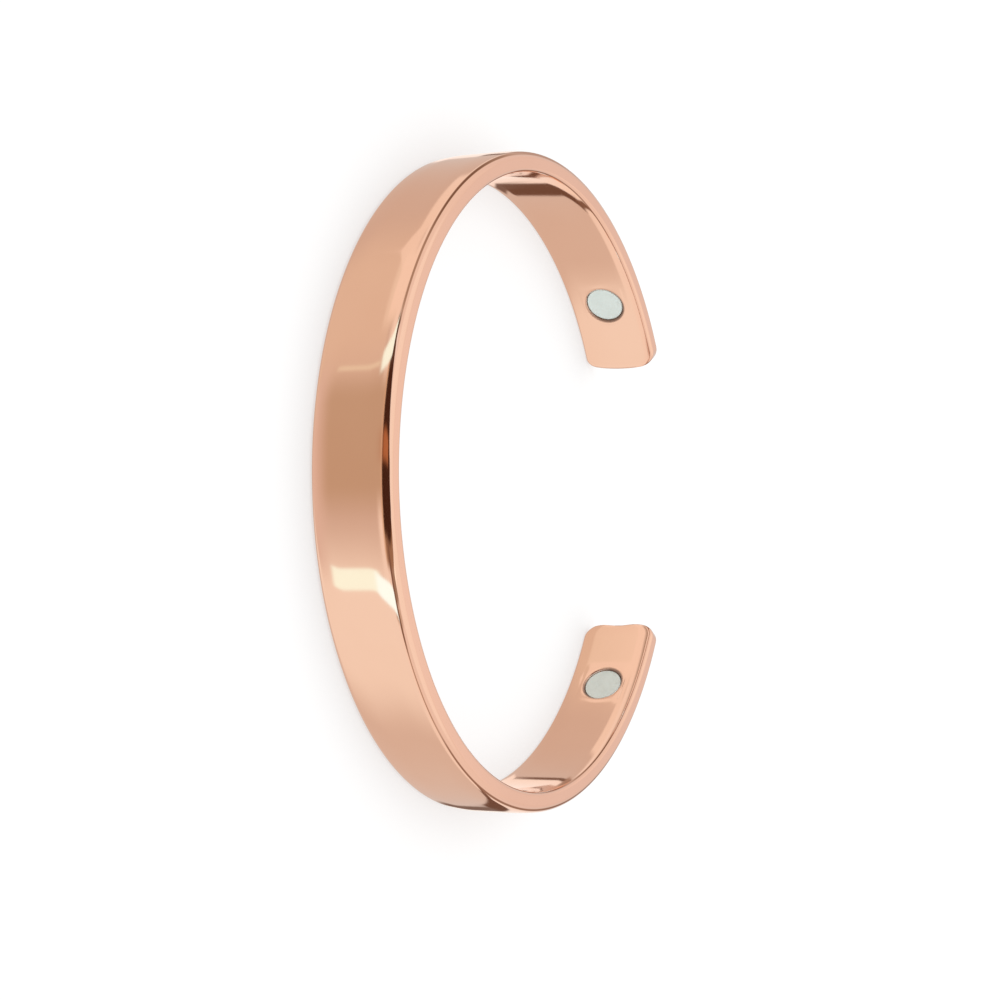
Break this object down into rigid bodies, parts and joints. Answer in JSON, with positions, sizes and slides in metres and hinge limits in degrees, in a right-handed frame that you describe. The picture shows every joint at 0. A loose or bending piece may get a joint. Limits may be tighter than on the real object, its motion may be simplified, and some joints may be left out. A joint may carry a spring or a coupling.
{
  "type": "magnetic bracelet",
  "caption": "Open C-shaped cuff bracelet of flat polished copper band with eased edges, with round plated magnets let into the inner face near its ends.",
  "frame": {"origin": "middle of the cuff's length and width at its lower side edge, on the surface that it rests on", "axes": "+Z along the wrist's axis, up from the side edge that the cuff rests on; +X from the closed back towards the gap between the ends; +Y across the cuff, through one shoulder"},
  "size_m": [0.0608, 0.0644, 0.008],
  "materials": {
    "copper": "polished rose copper, bare metal",
    "magnet_plating": "satin nickel plating"
  },
  "bodies": {
    "root": {"cuff": "copper", "magnet_1": "magnet_plating", "magnet_2": "magnet_plating"}
  },
  "joints": []
}
